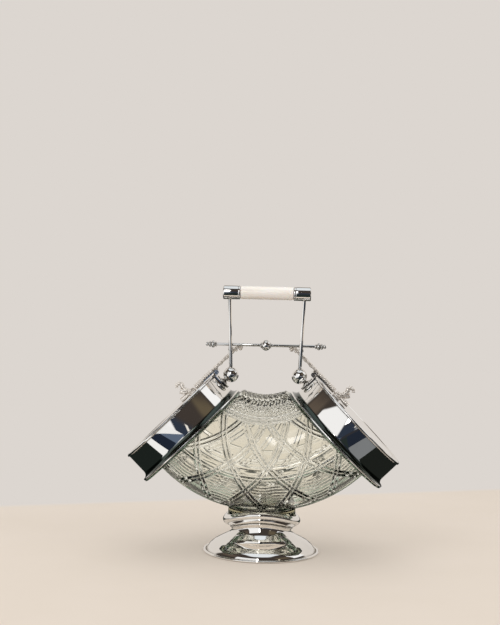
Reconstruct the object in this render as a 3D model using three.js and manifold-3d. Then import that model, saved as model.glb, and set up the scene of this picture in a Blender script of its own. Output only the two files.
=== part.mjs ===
// Double-ended biscuit barrel: a curved cut-glass body on a silver-plated pedestal, with a deep collar
// and a hinged lid at each mouth, and a handle carried by two uprights. Millimetres, +Z up.
// The origin is the centre of the foot on the table. The two mouths face +X and -X, and the front is -Y.
import * as THREE from "three";
import { mergeVertices } from "three/addons/utils/BufferGeometryUtils.js";
import Module from "manifold-3d";

const wasm = await Module();
wasm.setup();

// Driving dimensions

// Gap between pieces that touch, are soldered or are bedded on each other.
const gap = 0.3;
// How far the shapes that make up one piece run into each other.
const weld = 0.2;
// The body is a round tube bent about a line along Y. Angle between each mouth's axis and the upright line.
const mouthAngle = THREE.MathUtils.degToRad(45);
// Distances from the bend line to the tube's upper and lower skin at the middle of the body.
const upperSkin = 38.3;
const lowerSkin = 154.3;
// How far the lower skin draws in towards the bend line at the mouths.
const lowerSkinEnd = 3.5;
const glassWall = 5.5;

// Mouth mounts: how far below the tube's middle each collar's axis lies, then the collar itself.
const collarDrop = 11.3;
const collarRadius = 59;
const collarWall = 1.2;
const collarHeight = 20.3;
const flareRadius = 5.5;
const rimWidth = 8.8;
const rimThickness = 1.3;
// The glass inside the collar: a flange under the flare, and a neck bedded in the collar's wall.
const collarBed = 1.9;
const neckWall = 5.3;
const neckDrop = 6.3;
const flangeEdge = 1.1;
const flangeSlope = 2.2;
// How far the neck's bore narrows below the neck, and over what length.
const neckStep = 1.5;
const neckStepLength = 2;

// Lids
const lidOverhang = 1.0;
const lidThickness = 1.5;
const lidBead = 2.3;
const lidBeadWidth = 3.2;
const linerClearance = 0.4;
const linerWall = 1.0;
const linerDepth = 4.6;

// Hinges
const pinRadius = 1.0;
const pinClearance = 0.3;
const knuckleRadius = 2.1;
const lidKnuckleWidth = 7.8;
const hingeWidth = 24;
const hingePlate = 1.1;
const hingeLegClearance = 0.5;
const hingeLegHeight = 9.5;
const lidLeafLength = 13;
const lidLeafClearance = 0.8;

// Cast strap, knob and lever on each lid
const strapWidth = 9;
const strapReach = 22.8;
const strapRise = 3.2;
const strapLip = 1.5;
const knobBase = 4.6;
const knobHeight = 18.2;
const twigRadius = 1.9;
const leverPast = 0.6;
const leverWidth = 3.6;
const leverThickness = 2.2;
const leverStandOff = 1.2;
const leverHeel = 12;
const leverHook = 2.6;

// Handle
const ballRadius = 7.7;
const stemLength = 3.2;
const stemRadius = 7.3;
const stemHeight = 2.4;
const stemWaist = 2.4;
const spigotRadius = 1.5;
const spigotDepth = 3.0;
const uprightRadius = 1.8;
const uprightInset = 10.6;
const uprightSeat = 4.0;
// Heights of the grip and of the crossbar above the middle of the balls.
const gripRise = 81.48;
const barRise = 29.68;
const gripRadius = 6.4;
const gripLength = 53.0;
const ferruleRadius = 7.0;
const ferruleLength = 17.0;
const ferruleWall = 1.0;
const ferruleSocket = 3.0;
const tenonLength = 4.1;
const tenonStep = 1.4;
const coreOverhang = 2.5;
const coreRadius = 2.2;
const fitClearance = 0.3;

// Crossbar behind the uprights
const barRadius = 1.5;
const barLength = 97;
const barBallRadius = 5.4;
const finialLength = 11;
const finialRadius = 3.8;
const lugRadius = 2.6;

// Pedestal
const ringRadius = 38.5;
const ringWall = 4.9;
const ringHeight = 11;
const ringBottom = 26.0;
const shelfWidth = 5.6;
const shelfThickness = 1.6;
// How far the tube's lowest point lies above the ring mount.
const bodyLift = 3.5;
const pegDepth = 11;
const pegBed = 3.2;
const pegBedLength = 7.7;
const flangeOverhang = 2;
const flangeLip = 2.4;
const neckInset = 9.5;
const footRadius = 57.5;
const footWire = 2.6;
const footSheet = 1.2;
// The saddle bend grows to its full height between these two distances below the ring mount.
const bendStart = 12;
const bendFull = 3;

// Sizes that follow from those above
const ringTop = ringBottom + ringHeight;
const stubRadius = ringRadius - gap - ringWall;
const stubFloor = ringBottom + shelfThickness + gap;
const pedestalNeck = ringRadius - neckInset;
const flangeRadius = pedestalNeck + flangeOverhang;
const pegRadius = pedestalNeck - footSheet - 2 * gap - pegBed;
const bendHeight = ringTop + bodyLift + lowerSkin;
const collarOffset = (upperSkin + lowerSkin) / 2 + collarDrop;
const neckRadius = collarRadius - collarWall - 2 * gap - collarBed;
const neckBore = neckRadius - neckWall;
const neckHeight = collarHeight - neckDrop;
const mouthRadius = collarRadius - rimWidth;
const ballStand = stemLength + ballRadius;
const uprightSpread = gripLength / 2 + uprightInset;
// Outer radius of the flare's cove at the collar's lower edge. The upper skin ends at the flange below it.
const flareTip = collarRadius + flareRadius;
const upperSkinEnd = collarOffset - flareTip + weld - upperSkin;

// How finely the round shapes are divided
const bigRound = 32;
const middleRound = 24;
const smallRound = 16;

// Materials
function finish(color, roughness, metalness) {
  return new THREE.MeshStandardMaterial({ color, roughness, metalness });
}
const silver = () => finish(0xc9c9c6, 0.12, 1);
const glass = () => finish(0xdfe6d8, 0.06, 0);
const ivory = () => finish(0xece6da, 0.45, 0);
const plaster = () => finish(0xe8e4da, 0.9, 0);
const brass = () => finish(0xb08d4c, 0.3, 1);

// Solids

// One closed surface as a solid: shared points merged, flat triangles dropped, faces turned outwards.
function solidOf(geometry) {
  const flat = geometry.index ? geometry.toNonIndexed() : geometry;
  const bare = new THREE.BufferGeometry();
  bare.setAttribute("position", flat.getAttribute("position").clone());
  const merged = mergeVertices(bare, 1e-4);
  const p = merged.getAttribute("position");
  const index = merged.index.array;
  const corner = [new THREE.Vector3(), new THREE.Vector3(), new THREE.Vector3()];
  const kept = [];
  let volume = 0;
  for (let i = 0; i < index.length; i += 3) {
    const [a, b, c] = [index[i], index[i + 1], index[i + 2]];
    if (a === b || b === c || c === a) continue;
    kept.push(a, b, c);
    corner.forEach((v, k) => v.fromBufferAttribute(p, index[i + k]));
    volume += corner[0].dot(corner[1].clone().cross(corner[2]));
  }
  if (volume < 0) kept.reverse();
  return new wasm.Manifold(
    new wasm.Mesh({ numProp: 3, vertProperties: p.array, triVerts: Uint32Array.from(kept) }),
  );
}

function geometryOf(solid) {
  const mesh = solid.getMesh();
  const geometry = new THREE.BufferGeometry();
  geometry.setAttribute("position", new THREE.BufferAttribute(mesh.vertProperties.slice(), 3));
  geometry.setIndex(new THREE.BufferAttribute(mesh.triVerts.slice(), 1));
  geometry.computeVertexNormals();
  return geometry;
}

// The first geometry with the others joined to it.
function join(first, ...others) {
  let solid = solidOf(first);
  for (const other of others) solid = solid.add(solidOf(other));
  return geometryOf(solid);
}

// The first geometry with the others cut out of it.
function cut(first, ...others) {
  let solid = solidOf(first);
  for (const other of others) solid = solid.subtract(solidOf(other));
  return geometryOf(solid);
}

// A turned shape about Z. The profile is a list of [radius, height] and closes on itself.
function turned(profile, segments = bigRound) {
  const points = [...profile, profile[0]].map(([r, z]) => new THREE.Vector2(r, z));
  const lathed = new THREE.LatheGeometry(points, segments).rotateX(Math.PI / 2);
  return geometryOf(solidOf(lathed));
}

// A turned shape about Z whose profile starts and ends on the axis.
function turnedSolid(profile, segments = smallRound) {
  const points = profile.map(([r, z]) => new THREE.Vector2(r, z));
  const lathed = new THREE.LatheGeometry(points, segments).rotateX(Math.PI / 2);
  return geometryOf(solidOf(lathed));
}

function box(x0, x1, y0, y1, z0, z1) {
  const shape = new THREE.BoxGeometry(x1 - x0, y1 - y0, z1 - z0);
  return shape.translate((x0 + x1) / 2, (y0 + y1) / 2, (z0 + z1) / 2);
}

// A round bar between two points.
function bar(radius, from, to, segments = smallRound) {
  const along = to.clone().sub(from);
  const shape = new THREE.CylinderGeometry(radius, radius, along.length(), segments);
  const turn = new THREE.Quaternion().setFromUnitVectors(
    new THREE.Vector3(0, 1, 0),
    along.clone().normalize(),
  );
  return shape.applyQuaternion(turn).translate(...from.clone().add(to).multiplyScalar(0.5));
}

function ball(radius, segments = smallRound) {
  return new THREE.SphereGeometry(radius, segments, Math.round(segments * 0.6));
}

// A tube through a list of circles, closed at both ends. Each circle has a centre, a radius and two
// directions that its plane holds, the second of them Y where it isn't given.
function tubeThrough(circles, segments = bigRound) {
  const points = [];
  const triangles = [];
  const alongY = new THREE.Vector3(0, 1, 0);
  for (const { centre, radius, out, across = alongY } of circles) {
    for (let i = 0; i < segments; i++) {
      const a = (2 * Math.PI * i) / segments;
      const p = centre.clone().addScaledVector(out, radius * Math.cos(a));
      points.push(...p.addScaledVector(across, radius * Math.sin(a)));
    }
  }
  const last = circles.length - 1;
  for (let j = 0; j < last; j++) {
    for (let i = 0; i < segments; i++) {
      const k = (i + 1) % segments;
      const [a, b] = [j * segments + i, j * segments + k];
      const [c, d] = [a + segments, b + segments];
      triangles.push(a, b, d, a, d, c);
    }
  }
  for (let i = 1; i < segments - 1; i++) {
    triangles.push(0, i + 1, i);
    triangles.push(last * segments, last * segments + i, last * segments + i + 1);
  }
  const geometry = new THREE.BufferGeometry();
  geometry.setAttribute("position", new THREE.Float32BufferAttribute(points, 3));
  geometry.setIndex(triangles);
  return geometry;
}

// Placing

function piece(name, geometry, material) {
  const mesh = new THREE.Mesh(geometry, material);
  mesh.name = name;
  return mesh;
}

const sides = ["left", "right"];
const mirrorOf = { left: -1, right: 1 };

// The bend: a point of the middle plane, by its angle from straight down (positive towards +X), its
// distance from the bend line, and a step along the bent centre line.
function onBend(angle, distance, along = 0) {
  const out = new THREE.Vector3(Math.sin(angle), 0, -Math.cos(angle));
  const forward = new THREE.Vector3(Math.cos(angle), 0, Math.sin(angle));
  const centre = new THREE.Vector3(0, 0, bendHeight);
  return centre.addScaledVector(out, distance).addScaledVector(forward, along);
}

function circleOnBend(angle, nearest, farthest, along = 0) {
  return {
    centre: onBend(angle, (nearest + farthest) / 2, along),
    radius: (farthest - nearest) / 2,
    out: onBend(angle, 1).sub(onBend(angle, 0)),
  };
}

// Each mouth has a frame of its own: +Z along the mouth's axis and outwards, +X away from the handle,
// its origin in the middle of the collar's lower edge. The left one is the right one turned about +Z.
const mouthCentre = onBend(mouthAngle, collarOffset);
function mouthFrame(side) {
  const inner = new THREE.Group();
  inner.position.copy(mouthCentre);
  inner.rotation.y = mouthAngle;
  const outer = new THREE.Group();
  outer.rotation.z = side === "left" ? Math.PI : 0;
  outer.add(inner);
  outer.updateMatrixWorld(true);
  return { outer, inner };
}

// Where the handle's balls stand, and the heights that are measured from them.
const stemZ = collarHeight / 2;
const ballLocal = new THREE.Vector3(-(collarRadius + ballStand), 0, stemZ);
function ballCentre(side) {
  return ballLocal.clone().applyMatrix4(mouthFrame(side).inner.matrixWorld);
}
const ballHeight = ballCentre("right").z;
const gripHeight = ballHeight + gripRise;
const barHeight = ballHeight + barRise;

// Glass body

// Distances of the tube's upper and lower skin from the bend line, at an angle from straight down.
function skins(angle) {
  const share = Math.abs(angle) / mouthAngle;
  return [upperSkin + upperSkinEnd * share ** 3, lowerSkin - lowerSkinEnd * share ** 2];
}

// The tube's underside over a point of the table, near the middle.
function underside(x, y) {
  const middle = (upperSkin + lowerSkin) / 2;
  const radius = (lowerSkin - upperSkin) / 2;
  const distance = middle + Math.sqrt(radius ** 2 - y ** 2);
  return bendHeight - Math.sqrt(distance ** 2 - x ** 2);
}

// The mount under the body is bent like a saddle: its front and back rise with the tube's underside.
const saddleRise = underside(0, ringRadius) - underside(ringRadius, 0);
const [liftStart, liftEnd] = [ringBottom - bendStart, ringBottom - bendFull];
function saddled(geometry) {
  const p = geometry.getAttribute("position");
  for (let i = 0; i < p.count; i++) {
    const share = THREE.MathUtils.smoothstep(p.getZ(i), liftStart, liftEnd);
    const distance = Math.max(Math.hypot(p.getX(i), p.getY(i)), 1e-6);
    const rise = (saddleRise * p.getY(i) ** 2) / (distance * ringRadius);
    p.setZ(i, p.getZ(i) + share * rise);
  }
  return geometry;
}

// A stretch of the cove's section, from the wall down to the tip, at a distance behind its face.
function cove(behind, steps = 4) {
  const points = [];
  for (let i = 0; i <= steps; i++) {
    const a = (Math.PI / 2) * (i / steps);
    const radius = flareRadius + behind;
    points.push([flareTip - radius * Math.cos(a), -radius * Math.sin(a)]);
  }
  return points;
}

function glassBody() {
  const bodySteps = [-1, -0.8, -0.54, -0.27, 0, 0.27, 0.54, 0.8, 1];
  const outside = bodySteps.map((share) => {
    const angle = share * mouthAngle;
    return circleOnBend(angle, ...skins(angle));
  });

  // The flange starts where the glass clears the flare.
  const clear = collarWall + gap;
  const flangeCove = cove(clear, 3);
  const edge = flangeCove[flangeCove.length - 1][1];
  const flange = [
    [0, edge - flangeEdge - flangeSlope],
    [neckRadius - gap, edge - flangeEdge - flangeSlope],
    [flareTip - gap, edge - flangeEdge],
    ...flangeCove.reverse().map(([r, z]) => [Math.min(r, flareTip - gap), z]),
    [neckRadius, 0],
    [neckRadius, neckHeight],
    [0, neckHeight],
  ];
  const trims = [];
  const flanges = [];
  for (const side of sides) {
    const frame = mouthFrame(side).inner.matrixWorld;
    const reach = 2 * flareTip;
    const beyond = box(-reach, reach, -reach, reach, edge - gap, 2 * neckHeight);
    trims.push(beyond.applyMatrix4(frame));
    flanges.push(turnedSolid(flange, bigRound).applyMatrix4(frame));
  }

  // The stub below the body stands in the ring mount, and its peg is bedded in the pedestal.
  const stubTop = stubFloor + 2 * glassWall;
  const stub = saddled(
    turnedSolid(
      [
        [0, ringBottom - pegDepth],
        [pegRadius, ringBottom - pegDepth],
        [pegRadius, stubFloor],
        [stubRadius, stubFloor],
        [stubRadius, stubTop],
        [0, stubTop],
      ],
      bigRound,
    ),
  );
  const p = stub.getAttribute("position");
  for (let i = 0; i < p.count; i++) {
    const buried = underside(p.getX(i), p.getY(i)) + glassWall / 2;
    if (p.getZ(i) > stubTop - gap) p.setZ(i, buried);
  }

  // The hollow follows the skins and then leads out through the necks.
  const hollowSteps = [-0.75, -0.54, -0.27, 0, 0.27, 0.54, 0.75];
  const hollow = hollowSteps.map((share) => {
    const [near, far] = skins(share * mouthAngle);
    return circleOnBend(share * mouthAngle, near + glassWall, far - glassWall);
  });
  const [nearEnd, farEnd] = skins(mouthAngle);
  const ends = (sign) => {
    const angle = sign * mouthAngle;
    const [low, high] = [collarOffset - neckBore, collarOffset + neckBore];
    return [
      circleOnBend(angle, nearEnd + glassWall, farEnd - glassWall + gap, sign * edge),
      circleOnBend(angle, low - neckStep, high - neckStep),
      circleOnBend(angle, low, high, sign * neckStepLength),
      circleOnBend(angle, low, high, sign * 2 * neckHeight),
    ];
  };
  const inside = tubeThrough([...ends(-1).reverse(), ...hollow, ...ends(1)]);
  const tube = cut(tubeThrough(outside), ...trims);
  return cut(join(tube, ...flanges, stub), inside);
}

// Pedestal

// The rounded ring that the body sits in, with a shelf inside it below the glass stub.
function ringMount() {
  const floor = stubFloor - gap;
  const inner = stubRadius + gap;
  const shelf = inner - shelfWidth;
  const wall = ringRadius - inner;
  const height = ringTop - ringBottom;
  return saddled(
    turned([
      [shelf, ringBottom],
      [ringRadius - wall * 1.3, ringBottom],
      [ringRadius - wall * 0.52, ringBottom + height * 0.14],
      [ringRadius - wall * 0.1, ringBottom + height * 0.32],
      [ringRadius, ringBottom + height * 0.5],
      [ringRadius - wall * 0.14, ringBottom + height * 0.7],
      [ringRadius - wall * 0.52, ringBottom + height * 0.92],
      [inner + wall * 0.1, ringTop],
      [inner, ringTop - height * 0.05],
      [inner, floor],
      [shelf, floor],
    ]),
  );
}

// A stretch of section moved behind itself by a distance, to its left when it is followed downwards.
function behind(points, distance) {
  return points.map(([r, z], i) => {
    const [r0, z0] = points[Math.max(i - 1, 0)];
    const [r1, z1] = points[Math.min(i + 1, points.length - 1)];
    const length = Math.hypot(r1 - r0, z1 - z0);
    return [r + (distance * (z1 - z0)) / length, z - (distance * (r1 - r0)) / length];
  });
}

// The spun pedestal: a flange at the top, a hollow neck, a bell and the edge that the wire closes.
const wireInner = footRadius - footWire;
const flangeTop = ringBottom - gap;
function pedestal() {
  const neckTop = flangeTop - flangeLip * 1.4;
  const spread = wireInner - gap - pedestalNeck;
  const lip = flangeRadius - pedestalNeck;
  const bell = [
    [pedestalNeck, neckTop],
    [pedestalNeck + spread * 0.02, neckTop * 0.93],
    [pedestalNeck + spread * 0.1, neckTop * 0.84],
    [pedestalNeck + spread * 0.26, neckTop * 0.74],
    [pedestalNeck + spread * 0.48, neckTop * 0.61],
    [pedestalNeck + spread * 0.69, neckTop * 0.48],
    [pedestalNeck + spread * 0.85, neckTop * 0.33],
    [pedestalNeck + spread * 0.96, neckTop * 0.19],
    [pedestalNeck + spread, neckTop * 0.04],
    [pedestalNeck + spread, gap],
  ];
  const inside = behind(bell, footSheet).map(([r, z]) => [r, Math.max(z, gap)]);
  return saddled(
    turned([
      [pedestalNeck - footSheet, flangeTop],
      [flangeRadius - lip * 0.3, flangeTop],
      [flangeRadius, flangeTop - flangeLip * 0.3],
      [flangeRadius, flangeTop - flangeLip * 0.7],
      [flangeRadius - lip * 0.45, flangeTop - flangeLip],
      ...bell,
      ...inside.reverse(),
    ]),
  );
}

function footRing() {
  return turned([
    [wireInner, 0],
    [footRadius - footWire * 0.23, 0],
    [footRadius, footWire * 0.27],
    [footRadius, footWire * 0.62],
    [footRadius - footWire * 0.27, footWire],
    [wireInner + footWire * 0.2, footWire],
    [wireInner, footWire * 0.8],
  ]);
}

// The plaster that beds the glass peg in the pedestal's neck.
function pegBedding() {
  const inner = pegRadius + gap;
  const outer = pedestalNeck - footSheet - gap;
  const bottom = flangeTop - pegBedLength;
  return saddled(
    turned([
      [inner, bottom],
      [outer, bottom],
      [outer, flangeTop],
      [inner, flangeTop],
    ]),
  );
}

// Mouth mounts, in the mouth's frame

function collar() {
  const outside = cove(0);
  const inside = cove(collarWall).reverse();
  return turned([
    [mouthRadius, collarHeight - rimThickness],
    [mouthRadius, collarHeight],
    [collarRadius, collarHeight],
    ...outside,
    ...inside,
    [collarRadius - collarWall, collarHeight - rimThickness],
  ]);
}

function collarBedding() {
  const outer = collarRadius - collarWall - gap;
  return turned([
    [neckRadius + gap, gap],
    [outer, gap],
    [outer, neckHeight],
    [neckRadius + gap, neckHeight],
  ]);
}

// Lids, in the mouth's frame

const lidUnderside = collarHeight + gap;
const lidTop = lidUnderside + lidThickness;
const lidRadius = collarRadius + lidOverhang;
const beadTop = lidUnderside + lidBead;

function lid() {
  return turnedSolid(
    [
      [0, lidUnderside],
      [lidRadius - lidBead * 0.2, lidUnderside],
      [lidRadius, lidUnderside + lidBead * 0.2],
      [lidRadius, beadTop - lidBead * 0.3],
      [lidRadius - lidBead * 0.3, beadTop],
      [lidRadius - lidBeadWidth, beadTop],
      [lidRadius - lidBeadWidth * 1.25, lidTop],
      [0, lidTop],
    ],
    bigRound,
  );
}

function lidLiner() {
  const outer = mouthRadius - linerClearance;
  const top = lidUnderside - gap;
  return turned([
    [outer - linerWall, top - linerDepth],
    [outer, top - linerDepth],
    [outer, top],
    [outer - linerWall, top],
  ]);
}

// Hinge line: just outside the lid's edge on the side of the handle.
const pinX = -(lidRadius + knuckleRadius + gap);
const pinZ = lidUnderside + lidBead / 2;

function knuckle(y0, y1) {
  const from = new THREE.Vector3(pinX, y0, pinZ);
  const to = new THREE.Vector3(pinX, y1, pinZ);
  const bore = pinRadius + pinClearance;
  const over = new THREE.Vector3(0, 1, 0);
  return {
    barrel: bar(knuckleRadius, from, to),
    bore: bar(bore, from.clone().sub(over), to.clone().add(over)),
  };
}

// The fixed half: a curved plate on the collar's wall, with a leg beside the stem on each side.
function hingeBase() {
  const low = stemZ + stemRadius + gap;
  const half = hingeWidth / 2;
  const innerR = collarRadius + gap;
  const plate = turned([
    [innerR, collarHeight - hingeLegHeight],
    [innerR + hingePlate, collarHeight - hingeLegHeight],
    [innerR + hingePlate, collarHeight],
    [innerR, collarHeight],
  ]);
  const reach = 2 * collarRadius;
  const stemSide = stemRadius + hingeLegClearance;
  const away = [
    box(-reach, reach, half, reach, -reach, reach),
    box(-reach, reach, -reach, -half, -reach, reach),
    box(0, reach, -reach, reach, -reach, reach),
    box(-reach, 0, -stemSide, stemSide, -reach, low),
  ];
  const inner = lidKnuckleWidth / 2 + gap;
  const back = knuckle(inner, half);
  const front = knuckle(-half, -inner);
  const web = (y0, y1) => {
    return box(pinX - weld, -innerR - weld, y0, y1, pinZ - knuckleRadius, collarHeight);
  };
  const webs = [web(inner, half), web(-half, -inner)];
  const body = join(cut(plate, ...away), back.barrel, front.barrel, ...webs);
  return cut(body, back.bore, front.bore);
}

// The moving half: a leaf on the lid with the middle knuckle, beside the lever.
const leverSide = ballRadius + gap + leverStandOff;
const leafStart = -(lidRadius - lidBead * 0.35);
function lidLeaf() {
  const middle = knuckle(-lidKnuckleWidth / 2, lidKnuckleWidth / 2);
  const bottom = beadTop + gap;
  const top = bottom + hingePlate;
  const halfLeaf = leverSide - lidLeafClearance;
  const leaf = box(leafStart, leafStart + lidLeafLength, -halfLeaf, halfLeaf, bottom, top);
  const halfNeck = lidKnuckleWidth / 2;
  const neck = box(pinX, leafStart + weld, -halfNeck, halfNeck, bottom, top);
  return cut(join(leaf, middle.barrel, neck), middle.bore);
}

function hingePin() {
  const half = hingeWidth / 2 + 2 * gap;
  const from = new THREE.Vector3(pinX, -half, pinZ);
  return bar(pinRadius, from, new THREE.Vector3(pinX, half, pinZ));
}

// A flat shape of the mouth's XZ plane, given its thickness along Y.
function slab(outline, thickness, middle, curveSegments = 6) {
  const options = { depth: thickness, bevelEnabled: false, curveSegments };
  const raised = new THREE.ExtrudeGeometry(outline, options).rotateX(Math.PI / 2);
  return geometryOf(solidOf(raised.translate(0, middle + thickness / 2, 0)));
}

// The cast strap: it starts on the leaf, steps down to the lid and ends at the knob's foot.
const strapBottom = beadTop + 2 * gap + hingePlate;
const strapStart = leafStart + gap;
const strapEnd = strapStart + strapReach + strapLip;
function strap() {
  const shoulder = strapStart + strapReach;
  const crown = strapBottom + strapRise;
  const step = leafStart + lidLeafLength + gap;
  const outline = new THREE.Shape();
  outline.moveTo(strapStart, strapBottom);
  outline.lineTo(strapStart, strapBottom + strapRise * 0.6);
  outline.quadraticCurveTo(strapStart + strapReach * 0.4, crown, shoulder, crown);
  outline.quadraticCurveTo(strapEnd, crown, strapEnd, crown - strapLip);
  outline.lineTo(strapEnd, lidTop + gap);
  outline.lineTo(step, lidTop + gap);
  outline.lineTo(step, strapBottom);
  return slab(outline, strapWidth, 0);
}

// A bent twig: a tapering limb along a smooth curve through a few points.
function twig(points, radius, taper, segments = 6) {
  const rings = 2 * (points.length - 1);
  const curve = new THREE.CatmullRomCurve3(points);
  const circles = [];
  for (let i = 0; i <= rings; i++) {
    const share = i / rings;
    const way = curve.getTangent(share);
    const out = new THREE.Vector3(0, 1, 0).cross(way).normalize();
    const across = way.clone().cross(out);
    circles.push({ centre: curve.getPoint(share), radius: radius * (1 - taper * share), out, across });
  }
  return tubeThrough(circles, segments);
}

// The knob: a stalk with a curled end and two club-shaped branches on a round foot. Its points are
// shares of its height.
const knobFoot = strapEnd + gap + knobBase;
function knob() {
  const foot = lidTop + gap;
  const h = knobHeight;
  const at = (x, y, z) => new THREE.Vector3(knobFoot + h * x, h * y, foot + h * z);
  const base = turnedSolid([
    [0, 0],
    [knobBase, 0],
    [knobBase, h * 0.08],
    [knobBase * 0.7, h * 0.2],
    [0, h * 0.24],
  ]).translate(knobFoot, 0, foot);
  const stalk = [at(0, 0, 0.1), at(0.16, 0, 0.35), at(0.2, 0, 0.6), at(0.12, 0, 0.84)];
  const curl = [at(0.12, 0, 0.82), at(0.2, 0, 0.95), at(0.36, 0, 0.98), at(0.48, 0, 0.88)];
  const high = [at(0.1, 0, 0.18), at(0.28, 0.08, 0.36), at(0.48, 0.12, 0.62)];
  const low = [at(0.1, 0, 0.14), at(0.48, -0.08, 0.13), at(0.84, -0.12, 0.14)];
  return join(
    base,
    twig(stalk, twigRadius, 0.4),
    twig(curl, twigRadius * 0.55, 0.2),
    twig(high, twigRadius * 0.7, -0.3),
    twig(low, twigRadius * 0.7, -0.3),
  );
}

// The lever: a foot on the lid and an arm that passes over the hinge and ends level with the crossbar.
function lever(back) {
  const bottom = pinZ + knuckleRadius + 2 * gap;
  const top = bottom + leverThickness;
  const drop = mouthCentre.z + bottom * Math.cos(mouthAngle) - (barHeight + leverPast);
  const tip = drop / Math.sin(mouthAngle);
  const heel = -(lidRadius - leverHeel);
  const bridge = pinX + knuckleRadius + gap;
  const arm = new THREE.Shape();
  arm.moveTo(heel, beadTop + gap);
  arm.lineTo(heel, top);
  arm.lineTo(tip + leverHook * 3, top + leverHook * 0.23);
  arm.quadraticCurveTo(tip + leverHook, top + leverHook * 0.6, tip, top);
  arm.quadraticCurveTo(tip, bottom - leverHook, tip + leverHook * 2, bottom - leverHook * 0.5);
  arm.lineTo(tip + leverHook * 4.5, bottom);
  arm.lineTo(bridge, bottom);
  arm.lineTo(bridge, beadTop + gap);
  return slab(arm, leverWidth, back * (leverSide + leverWidth / 2), 5);
}

// Handle

// The turned stem between the collar and the ball, along -X of the mouth's frame.
function stem() {
  const start = collarRadius + gap;
  const ballSide = collarRadius + ballStand - ballRadius;
  const turnedStem = turnedSolid([
    [0, start],
    [stemRadius, start],
    [stemRadius, start + stemHeight * 0.4],
    [stemRadius * 0.62, start + stemHeight * 0.75],
    [stemWaist, start + stemHeight],
    [stemWaist, ballSide - gap],
    [spigotRadius, ballSide - gap],
    [spigotRadius, ballSide + spigotDepth],
    [0, ballSide + spigotDepth],
  ]);
  return turnedStem.rotateY(-Math.PI / 2).translate(0, 0, stemZ);
}

function uprightEnds(side) {
  const low = ballCentre(side);
  const high = new THREE.Vector3(mirrorOf[side] * uprightSpread, 0, gripHeight);
  const way = high.clone().sub(low).normalize();
  return {
    low: low.clone().addScaledVector(way, ballRadius - uprightSeat),
    high: high.clone().addScaledVector(way, ferruleSocket - ferruleRadius),
    way,
  };
}

// The ball, bored for the stem's spigot and for the upright's foot.
function handleBall(side) {
  const centre = ballCentre(side);
  const { low, way } = uprightEnds(side);
  const frame = mouthFrame(side).inner.matrixWorld;
  const deepest = collarRadius + ballStand - ballRadius + spigotDepth + gap;
  const spigotEnd = new THREE.Vector3(-deepest, 0, stemZ);
  const spigotStart = new THREE.Vector3(-collarRadius, 0, stemZ);
  const sphere = ball(ballRadius).rotateX(Math.PI / 2).translate(...centre);
  const seatEnd = low.clone().addScaledVector(way, -gap);
  const seat = bar(uprightRadius + fitClearance, seatEnd, low.addScaledVector(way, 2 * ballRadius));
  spigotEnd.applyMatrix4(frame);
  spigotStart.applyMatrix4(frame);
  return cut(sphere, seat, bar(spigotRadius + fitClearance, spigotEnd, spigotStart));
}

function upright(side) {
  const { low, high } = uprightEnds(side);
  return bar(uprightRadius, low, high);
}

// A ferrule: a cup over the grip's tenon, bored further in for the core rod and below for the upright.
const tenonRadius = gripRadius - tenonStep;
function ferrule(side) {
  const start = gripLength / 2;
  const end = start + ferruleLength;
  const edge = ferruleWall * 0.4;
  const cupEnd = start + tenonLength + fitClearance;
  const shell = turnedSolid(
    [
      [0, start],
      [ferruleRadius - edge, start],
      [ferruleRadius, start + edge],
      [ferruleRadius, end - edge],
      [ferruleRadius - edge, end],
      [0, end],
    ],
    middleRound,
  );
  const cup = turnedSolid([
    [0, start - ferruleWall],
    [tenonRadius + fitClearance, start - ferruleWall],
    [tenonRadius + fitClearance, cupEnd],
    [coreRadius + fitClearance, cupEnd],
    [coreRadius + fitClearance, end - ferruleWall],
    [0, end - ferruleWall],
  ]);
  const { high, way } = uprightEnds(side);
  const lay = new THREE.Matrix4().makeRotationY((mirrorOf[side] * Math.PI) / 2);
  lay.setPosition(0, 0, gripHeight);
  const seatStart = high.clone().addScaledVector(way, -2 * ferruleRadius);
  const seat = bar(uprightRadius + fitClearance, seatStart, high.addScaledVector(way, gap));
  return cut(shell.applyMatrix4(lay), cup.applyMatrix4(lay), seat);
}

// The grip: a turned bone handle with a tenon at each end and a bore for the core rod.
function grip() {
  const half = gripLength / 2 - gap;
  const lap = gripLength / 2 + tenonLength;
  const bore = coreRadius + fitClearance;
  const rounding = 0.3;
  const shape = turned(
    [
      [bore, -lap],
      [tenonRadius, -lap],
      [tenonRadius, -half],
      [gripRadius - rounding, -half],
      [gripRadius, -half + 2 * rounding],
      [gripRadius, half - 2 * rounding],
      [gripRadius - rounding, half],
      [tenonRadius, half],
      [tenonRadius, lap],
      [bore, lap],
    ],
    middleRound,
  );
  return shape.rotateY(Math.PI / 2).translate(0, 0, gripHeight);
}

function gripCore() {
  const half = gripLength / 2 + tenonLength + coreOverhang;
  const from = new THREE.Vector3(-half, 0, gripHeight);
  return bar(coreRadius, from, new THREE.Vector3(half, 0, gripHeight));
}

// Crossbar

const barY = uprightRadius + gap + barRadius;

// A round bar along the crossbar's line, to an equal distance on both sides.
function alongBar(radius, half) {
  const from = new THREE.Vector3(-half, barY, barHeight);
  return bar(radius, from, new THREE.Vector3(half, barY, barHeight));
}

function crossRod() {
  return alongBar(barRadius, barLength / 2);
}

function barBall() {
  const sphere = ball(barBallRadius).translate(0, barY, barHeight);
  return cut(sphere, alongBar(barRadius + fitClearance, 2 * barBallRadius));
}

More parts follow.
